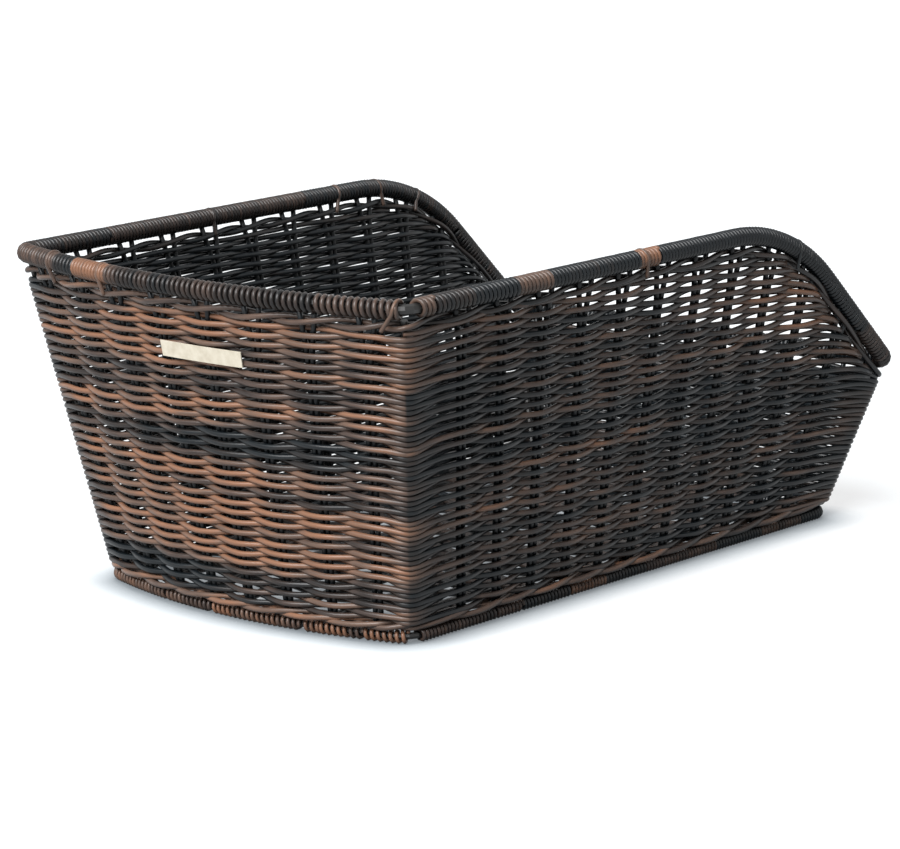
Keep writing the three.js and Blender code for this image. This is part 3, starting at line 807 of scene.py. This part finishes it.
def twined_band(name, count, turn_share, reach_out, shift_out, levels, reach_up, shades, seed):
    """Strands that turn round each other as they pass the knots. The knots aren't a multiple of
    their count, so one line runs round the basket once for each of them and closes on itself."""
    points, outs, tones = [], [], []
    for number in range(count):
        for index in range(STATION_COUNT):
            angle = 2 * math.pi * ((knot_phase[index] + number * KNOT_COUNT) / count + turn_share)
            near = post_near[index]
            reach = reach_out * (1 - near) + POST_REACH * near
            shift = shift_out * (1 - near) + POST_SHIFT * near
            s = reach_round[index]
            drift = TWINE_DRIFT * hand(s / TWINE_DRIFT_LENGTH, number * 2.7, seed + 0.5)
            level = levels[index] + reach_up[index] * math.sin(angle) + drift
            point, _, out = wall_surface(index, level)
            points.append(point + out * (reach * math.cos(angle) + shift))
            outs.append(out)
            change = TWINE_TONE * hand(s / TWINE_TONE_LENGTH, number * 3.3, seed)
            tones.append(shades[index] + change)
    strands = Strands()
    strands.add(np.array(points), np.array(outs), STRAND / 2, tones, closed=True)
    strands.piece(name, row_strand, "woven_strand")


def even(value):
    return np.full(STATION_COUNT, value)


# Foot band of three strands, each over two stakes and behind the third
WALING_REACH = 3.9 * MM
WALING_SHIFT = 0.95 * MM
WALING_WAVE = 1.2 * MM
twined_band("foot_waling", 3, -1 / 6, WALING_REACH, WALING_SHIFT,
            even(FOOT_LEVEL + WALING_HEIGHT / 2), even(WALING_WAVE), blended(WALING_TONES), 31)

# Top band of two strands, closer to the rim and flatter along its slopes
BAND_DROPS = {"tall_end": 10.2 * MM, "right": 9 * MM, "low_end": 10.2 * MM, "left": 10.2 * MM}
SLOPE_BAND_DROP = 8.8 * MM
BAND_REACH = 2.95 * MM
BAND_WAVE = 1.7 * MM
SLOPE_BAND_WAVE = 1.2 * MM
band_drop = blended_to_slope(BAND_DROPS, SLOPE_BAND_DROP)
band_wave = BAND_WAVE + (SLOPE_BAND_WAVE - BAND_WAVE) * steepness
twined_band("border_twine", 2, 0, BAND_REACH, 0, rim_line[:, 2] - band_drop, band_wave,
            blended(BORDER_TONES), 32)


# Windings
# Points along each part of a rod's centre line
POINTS_AT_ENDS = 60
POINTS_ALONG_SIDES = 360
# Weighs the width against the length, so that each corner is found in the middle of its bend
WIDTH_WEIGHT = 2.2


class Track:
    """A rod's centre line, by the distance along it from the middle of the tall end."""

    def __init__(self, ring):
        fine, long = POINTS_AT_ENDS, POINTS_ALONG_SIDES
        points = [ring.tall_end(t) for t in np.linspace(0, -ring.end_turn, fine)]
        points += [ring.tall_corner(-1, s) for s in np.linspace(1, 0, fine)[1:]]
        points += [ring.side(-1, x) for x in np.linspace(*ring.run, long)[1:]]
        points += [ring.low_corner(-1, s) for s in np.linspace(0, 1, fine)[1:]]
        points += [ring.low_end(t) for t in np.linspace(-ring.end_turn, ring.end_turn, fine)[1:]]
        points += [ring.low_corner(1, s) for s in np.linspace(1, 0, fine)[1:]]
        points += [ring.side(1, x) for x in np.linspace(*ring.run[::-1], long)[1:]]
        points += [ring.tall_corner(1, s) for s in np.linspace(0, 1, fine)[1:]]
        points += [ring.tall_end(t) for t in np.linspace(ring.end_turn, 0, fine)[1:]]
        self.points = np.array(points)
        steps = np.linalg.norm(np.diff(self.points, axis=0), axis=1)
        self.reach = np.concatenate(([0], np.cumsum(steps)))
        self.runs = tangents(self.points)
        self.length = self.reach[-1]
        turned = np.linalg.norm(np.diff(self.runs, axis=0), axis=1)
        self.turned = np.concatenate(([0], np.cumsum(turned)))
        x, y = self.points[:, 0], self.points[:, 1]
        self.corners = [
            self.reach[np.argmax(x * way_x + WIDTH_WEIGHT * y * way_y)]
            for way_x, way_y in ((-1, -1), (1, -1), (1, 1), (-1, 1))
        ]

    def between(self, distance, values):
        """Values at distances along the line, from those at its points."""
        columns = [np.interp(distance, self.reach, values[:, k]) for k in range(3)]
        return np.stack(columns, axis=-1)

    def at(self, distance):
        """Point, run, level direction across and upward direction at distances along the line."""
        distance = np.asarray(distance) % self.length
        point = self.between(distance, self.points)
        run = unit(self.between(distance, self.runs))
        across = unit(np.cross(np.array((0.0, 0.0, 1.0)), run))
        return point, run, across, np.cross(run, across)

    def turning(self, distance):
        """How far the line has turned up to a distance, in radians."""
        rounds, within = np.divmod(np.asarray(distance), self.length)
        return rounds * self.turned[-1] + np.interp(within, self.reach, self.turned)

    def quarter(self, distance):
        """The end or side in which a distance along the line lies."""
        right_tall, right_low, left_low, left_tall = self.corners
        distance = distance % self.length
        if distance < right_tall or distance >= left_tall:
            return "tall_end"
        if distance < right_low:
            return "right"
        return "low_end" if distance < left_low else "left"


TURN_STEPS = 12
SIDES_OF_WINDING = 6
CORNER_CROWDING = 0.75
# How finely the turns are counted along the rod
WINDING_STEP = 0.4 * MM
# Turns closer together than the strand is thick are pressed to this many times their spacing
TURN_PRESS = 1.04
TURN_LIFT = 0.12 * MM
# How much the shade changes from turn to turn, and slowly along a length
TURN_TONE = 0.13
LENGTH_TONE = 0.16
# A bit with no more points than this is covered by the ones before and after it
LEAST_POINTS = 3


def wind(quarters, track, start, end, pitch, rod, strand, tone, seed):
    """One length of strand wound round a rod from start to end, turn beside turn. At corners the
    turns crowd on the inside, so that they stay side by side on the outside."""
    outer = rod / 2 + strand
    fine = np.linspace(start, end, int((end - start) / WINDING_STEP) + 2)
    turned = track.turning(fine) - track.turning(start)
    turns = (fine - start + CORNER_CROWDING * outer * turned) / pitch
    count = max(TURN_STEPS, int(round(turns[-1] * TURN_STEPS)))
    turn = np.linspace(0, turns[-1], count + 1)
    distance = np.interp(turn, turns, fine)
    point, _, across, up = track.at(distance)
    thickness = min(strand, TURN_PRESS * pitch)
    lift = np.array([TURN_LIFT * hand(t * 0.55, seed, 41) for t in turn])
    radial = np.cos(2 * math.pi * turn)[:, None] * across + np.sin(2 * math.pi * turn)[:, None] * up
    line = point + radial * (outer - thickness / 2 + lift)[:, None]
    line[:, 2] = np.maximum(line[:, 2], thickness / 2)
    tones = np.array([
        tone + TURN_TONE * hand(t * 0.45, seed, 42) + LENGTH_TONE * hand(t * 0.08, seed, 43)
        for t in turn
    ])
    owners = [track.quarter(d) for d in distance]
    cuts = [0] + [i for i in range(1, count + 1) if owners[i] != owners[i - 1]] + [count + 1]
    for a, b in zip(cuts, cuts[1:]):
        kept = slice(max(a - 1, 0), min(b + 1, count + 1))
        radius = np.full(kept.stop - kept.start, thickness / 2)
        radius[[0, -1]] *= END_THINNING
        if len(radius) > LEAST_POINTS:
            strands = quarters[owners[a]]
            strands.add(line[kept], radial[kept], radius, tones[kept], SIDES_OF_WINDING)


# Shades of the longest lengths
BLACK = 0.1
DARK = 0.28
GREY_BROWN = 0.48
ORANGE_BROWN = 0.93

rim_track = Track(rim_ring(RIM_WINDING_CORNER))
base_track = Track(base_ring(BASE_WINDING_CORNER))

# Lengths of strand round the rim and round the base ring, from the middle of the tall end towards
# the right side: where each starts, the bare rod before it and how far apart its turns are, in mm,
# and its shade
RIM_LENGTHS = (
    (0, 0, 4.0, 0.44),
    (100, 0, 4.1, 0.52),
    (136, 0, 4.2, 0.66),
    (151, 11, 3.6, 0.72),
    (174, 0, 3.5, 0.42),
    (205, 0, 3.4, 0.12),
    (242, 0, 3.2, 0.78),
    (270, 0, 3.1, 0.2),
    (347, 0, 3.0, ORANGE_BROWN),
    (366, 0, 2.9, BLACK),
    (560, 0, 2.9, 0.22),
    (588, 0, 2.9, 0.5),
    (628, 0, 3.0, BLACK),
    (790, 0, 3.0, DARK),
    (930, 0, 2.9, 0.36),
    (1010, 0, 2.7, 0.42),
    (1060, 0, 2.6, 0.3),
    (1163, 0, 2.6, GREY_BROWN),
    (1330, 0, 2.8, 0.38),
    (1397, 0, 3.3, 0.6),
    (1440, 0, 3.6, 0.28),
    (1460, 0, 3.0, 1.0),
    (1492, 0, 3.6, 0.6),
    (1503, 0, 3.9, 0.42),
)
BASE_LENGTHS = (
    (0, 0, 3.8, 0.74),
    (51, 2.5, 3.9, 0.8),
    (64, 0, 3.9, 1.0),
    (83.5, 0, 3.9, 0.68),
    (93, 0, 3.9, 1.0),
    (119.5, 6.5, 3.0, 0.52),
    (189.5, 0, 3.0, 0.7),
    (212, 0, 3.0, 0.3),
    (254, 1, 2.9, 0.86),
    (286, 0, 2.9, 0.36),
    (324, 0, 2.8, 0.6),
    (391, 0, 2.8, 0.24),
    (436, 0, 2.8, 0.78),
    (452, 1.5, 2.8, 0.58),
    (475, 1, 2.8, 0.2),
    (540, 0, 3.0, BLACK),
    (740, 0, 3.0, 0.32),
    (905, 2, 3.0, 0.16),
    (1020, 0, 3.0, 0.4),
    (1112, 0, 3.6, 0.78),
    (1173, 2.5, 3.8, 0.7),
    (1215.5, 2, 3.9, 1.0),
)


def wound_rod(label, track, lengths, rod, strand, replaced):
    """All lengths of strand round one rod. Each starts where the one before it ends."""
    quarters = {wall: Strands() for wall in WALLS}
    ends = [start * MM for start, *_ in lengths[1:]] + [lengths[0][0] * MM + track.length]
    for number, ((start, gap, pitch, tone), end) in enumerate(zip(lengths, ends)):
        wind(quarters, track, (start + gap) * MM, end, pitch * MM, rod, strand, tone, number + 1)
    if label == "rim_wrap":
        ties(quarters, track)
    for quarter, strands in quarters.items():
        name, node = f"{label}_{quarter}", f"{replaced}_{quarter}"
        strands.piece(name, wound_strand, "winding_strand", [node])


# Single strands over the rim winding that tie the top band to it: the distance along the rim in mm,
# 1 where the strand comes down inside the basket or -1 outside, how far it slants on its way, how
# proud it lies in mm, and its shade
RIM_TIES = (
    (1056, 1, 5, 0.3, 0.62),
    (1095, 1, -5, 0.3, 0.7),
    (1131.5, 1, 4, 0.3, 0.72),
    (1243, 1, 3, 0.2, 0.5),
    (150, -1, -8, 0.5, 0.8),
    (1434, -1, 4, 0.8, 0.7),
    (1486, -1, 4, 0.4, 0.85),
    (352, -1, 3, 0.4, 0.8),
    (500, -1, 3, 0.3, 0.3),
)
TIE_STRAND = 2.4 * MM
TIE_TURN_STEPS = 12
# The angles from the top at which a tie starts on the winding and leaves it, in radians, and the
# share of its slant that it takes in between
TIE_START = -0.9
TIE_END = 2.0
TIE_SLANT_ON_WINDING = 0.35
# Its points on the way down, and how far below the band's middle and beside it the way ends
TIE_WAY_DOWN = (0.3, 0.6, 0.85, 1.0)
TIE_FOOT_DROP = 1 * MM
TIE_FOOT_BESIDE = STRAND * 1.3


def ties(quarters, track):
    """Each tie goes over the winding, down its side and on to the top band of the wall."""
    for distance, way, slant, proud, tone in RIM_TIES:
        middle, run, across, up = track.at(distance * MM)
        inward = across if across[:2] @ middle[:2] < 0 else -across
        side = inward * way
        radius = RIM_WRAP_RADIUS - TIE_STRAND / 2 + proud * MM
        nearest = np.argmin(np.linalg.norm(rim_line - middle, axis=1))
        band_level = middle[2] - band_drop[nearest]
        _, _, wall_out = wall_surface(nearest, band_level)
        foot, _, _ = wall_surface(nearest, band_level - TIE_FOOT_DROP)
        foot = foot + run * slant * MM - wall_out * way * TIE_FOOT_BESIDE
        points = []
        for angle in np.linspace(TIE_START, TIE_END, TIE_TURN_STEPS):
            drift = run * slant * MM * TIE_SLANT_ON_WINDING * (angle / TIE_END)
            points.append(middle + drift + radius * (math.cos(angle) * up + math.sin(angle) * side))
        leaving = points[-1]
        points += [leaving + (foot - leaving) * share for share in TIE_WAY_DOWN]
        points = np.array(points)
        # A slight lean keeps the outward directions from lying along the strand itself
        outs = unit(points - middle) + run * 0.01
        quarters[track.quarter(distance * MM)].add(points, outs, TIE_STRAND / 2, tone)


wound_rod("rim_wrap", rim_track, RIM_LENGTHS, RIM_ROD, RIM_STRAND, "rim_winding")
wound_rod("base_wrap", base_track, BASE_LENGTHS, BASE_ROD, BASE_STRAND, "base_winding")


# Base: how far its strands stop short of the base ring, how far the place of the first crosswise
# pair is moved towards the tall end, and how high the pairs wave over and under each other
BASE_WEAVE_LEVEL = BASE_LEVEL + BASE_ROD / 2 + STRAND * 1.2
BASE_INSET = 5 * MM
CROSSWISE_SHIFT = 4 * MM
LENGTHWISE_WAVE = 0.9 * MM
CROSSWISE_WAVE = 1.4 * MM
LENGTHWISE_STEPS = 120
CROSSWISE_STEPS = 80
SIDES_OF_BASE_STRAND = 6
# Shades of the base's strands, and how far they differ
LENGTHWISE_TONE = 0.35
LENGTHWISE_TONE_SPREAD = 0.3
CROSSWISE_TONE = 0.4
CROSSWISE_TONE_SPREAD = 0.35


def base_strands():
    """The open floor of the basket: lengthwise pairs with crosswise pairs woven through them."""
    strands = Strands()
    upward = np.array((0.0, 0.0, 1.0))

    def lay(xs, ys, levels, tone):
        line = np.stack(np.broadcast_arrays(xs, ys, levels), axis=-1)
        outs = np.broadcast_to(upward, line.shape)
        strands.add(line, outs, STRAND / 2, tone, sides=SIDES_OF_BASE_STRAND)

    ring, _ = row_rings
    lengthwise = [station.base[1] for station in WALLS["low_end"] if station.knot == "stake"]
    run_start, run_end = ring.rod_run
    cross_x = spread(run_start - CROSSWISE_SHIFT, run_end, 2 * SIDE_STAKES + 2)[1:-1]
    step = cross_x[1] - cross_x[0]
    for number, y in enumerate(lengthwise):
        tall_x = ring.tall_end(y / ring.half_width)[0] + BASE_INSET
        xs = np.linspace(tall_x, ring.low_x - BASE_INSET, LENGTHWISE_STEPS)
        wave = np.cos(math.pi * (xs - cross_x[0]) / step + math.pi * number)
        for way in (-1, 1):
            tone = LENGTHWISE_TONE + LENGTHWISE_TONE_SPREAD * hand(number * 1.3, way, 51)
            lay(xs, y + way * STRAND / 2, BASE_WEAVE_LEVEL + LENGTHWISE_WAVE * wave, tone)
    gap = lengthwise[1] - lengthwise[0]
    reach = ring.half_width - BASE_INSET
    ys = np.linspace(-reach, reach, CROSSWISE_STEPS)
    for number, x in enumerate(cross_x):
        wave = np.cos(math.pi * (ys - lengthwise[0]) / gap + math.pi * (number + 1))
        for way in (-1, 1):
            tone = CROSSWISE_TONE + CROSSWISE_TONE_SPREAD * hand(number * 0.9, way, 52)
            lay(x + way * STRAND / 2, ys, BASE_WEAVE_LEVEL + CROSSWISE_WAVE * wave, tone)
    strands.piece("base_weave", stake_strand, "stake_strand", ["base_grid"])


base_strands()

# The rods, posts and plate keep the construction's own shapes
for name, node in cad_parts.items():
    node.data.materials.clear()
    node.data.materials.append(plate_plastic if name == "label_plate" else steel)


# Floor, light and camera
FLOOR_WIDTH = 24
FLOOR_GLOW = 0.8
FLOOR_PAINT = "#858a8d"
# Painted contact shadow: the floor's colour and glow darken where the basket stands on it, by
# how closed in each place is. How near things darken it, and its shades from closed in to open
PAINTED_CONTACT_SHADOW_REACH = 30 * MM
PAINTED_CONTACT_SHADOW_SHADES = ((0.4, "#868b8f"), (0.72, "#d5d9dc"), (0.97, "#ffffff"))


def rays_to_background(owner):
    """1 where the background is looked at straight, by reflection or through something, else 0."""
    path = add_node(owner, "ShaderNodeLightPath")
    found = path.outputs["Is Camera Ray"]
    for kind in ("Is Glossy Ray", "Is Transmission Ray"):
        either = add_node(
            owner,
            "ShaderNodeMath",
            {"operation": "MAXIMUM"},
            {0: found, 1: path.outputs[kind]},
        )
        found = either.outputs[0]
    return found


def floor():
    """A white floor. Looked at, it glows, so that only the shadow under the basket shows on it.
    Its colour and glow also carry a painted contact shadow where the basket stands.
    """
    bpy.ops.mesh.primitive_plane_add(size=FLOOR_WIDTH, location=(0, 0, 0))
    plane = bpy.context.object
    plane.name = "floor"
    material = new_material("white_floor")
    # Painted contact shadow: the floor's colour and glow darken by how closed in each place is
    contact = add_node(
        material,
        "ShaderNodeAmbientOcclusion",
        {"samples": 12, "Distance": PAINTED_CONTACT_SHADOW_REACH},
    )
    painted_contact_shadow = add_node(
        material,
        "ShaderNodeValToRGB",
        {"stops": PAINTED_CONTACT_SHADOW_SHADES},
        {"Fac": contact.outputs["AO"]},
    )
    paint_with_painted_shadow = add_node(
        material,
        "ShaderNodeMix",
        {"data_type": "RGBA", "blend_type": "MULTIPLY", "Factor": 1.0},
        {7: painted_contact_shadow.outputs["Color"]},
    )
    paint_with_painted_shadow.inputs[6].default_value = linear(FLOOR_PAINT)
    paint = add_node(material, "ShaderNodeBsdfDiffuse", links={"Color": paint_with_painted_shadow.outputs[2]})
    # The glow takes the painted contact shadow too
    glow = add_node(
        material,
        "ShaderNodeEmission",
        {"Strength": FLOOR_GLOW},
        {"Color": painted_contact_shadow.outputs["Color"]},
    )
    nothing = add_node(material, "ShaderNodeEmission", {"Strength": 0.0})
    seen = add_node(
        material,
        "ShaderNodeMixShader",
        links={0: rays_to_background(material), 1: nothing.outputs[0], 2: glow.outputs[0]},
    )
    both = add_node(
        material,
        "ShaderNodeAddShader",
        links={0: paint.outputs[0], 1: seen.outputs[0]},
    )
    add_node(material, "ShaderNodeOutputMaterial", links={"Surface": both.outputs[0]})
    plane.data.materials.append(material)


floor()

# A large soft source at the left of the camera, above the tall end
KEY_FROM = Vector((-0.68, -0.08, 0.73))
KEY_STRENGTH = 7.6
KEY_SPREAD = math.radians(50)
bpy.ops.object.light_add(type="SUN", location=KEY_FROM * 3)
key = bpy.context.object
key.name = "key_light"
key.data.energy = KEY_STRENGTH
key.data.angle = KEY_SPREAD
key.rotation_euler = (-KEY_FROM).to_track_quat("-Z", "Y").to_euler()

# A faint light from all round, and white wherever the background is looked at
ROOM_LIGHT = 0.05

world = bpy.data.worlds.new("studio")
bpy.context.scene.world = world
world.use_nodes = True
world.node_tree.nodes.clear()
room = add_node(world, "ShaderNodeBackground", {"Color": linear("#e2e8ee"), "Strength": ROOM_LIGHT})
backdrop = add_node(world, "ShaderNodeBackground", {"Color": linear("#ffffff"), "Strength": 1.0})
sky = add_node(
    world,
    "ShaderNodeMixShader",
    links={0: rays_to_background(world), 1: room.outputs[0], 2: backdrop.outputs[0]},
)
add_node(world, "ShaderNodeOutputWorld", links={"Surface": sky.outputs[0]})

# Camera at the photograph's place
CAMERA_PLACE = (-1.75438, -1.58110, 0.59916)
CAMERA_AZIMUTH = math.radians(-47.9)
CAMERA_ELEVATION = math.radians(12.4)
CAMERA_ROLL = math.radians(-0.9)
FOCAL_PIXELS = 3994.7
PHOTO_WIDTH = 900
SENSOR_WIDTH = 36

camera_data = bpy.data.cameras.new("camera")
camera_data.sensor_fit = "HORIZONTAL"
camera_data.sensor_width = SENSOR_WIDTH
camera_data.lens = FOCAL_PIXELS / PHOTO_WIDTH * SENSOR_WIDTH
camera_data.clip_start = 0.05
camera_data.clip_end = 60
camera = bpy.data.objects.new("camera", camera_data)
bpy.context.scene.collection.objects.link(camera)
look = Vector((
    -math.sin(CAMERA_AZIMUTH) * math.cos(CAMERA_ELEVATION),
    math.cos(CAMERA_AZIMUTH) * math.cos(CAMERA_ELEVATION),
    -math.sin(CAMERA_ELEVATION),
))
camera.location = CAMERA_PLACE
camera.rotation_mode = "QUATERNION"
camera.rotation_quaternion = Quaternion(look, -CAMERA_ROLL) @ look.to_track_quat("-Z", "Y")
bpy.context.scene.camera = camera

bpy.context.scene.view_settings.view_transform = "Standard"
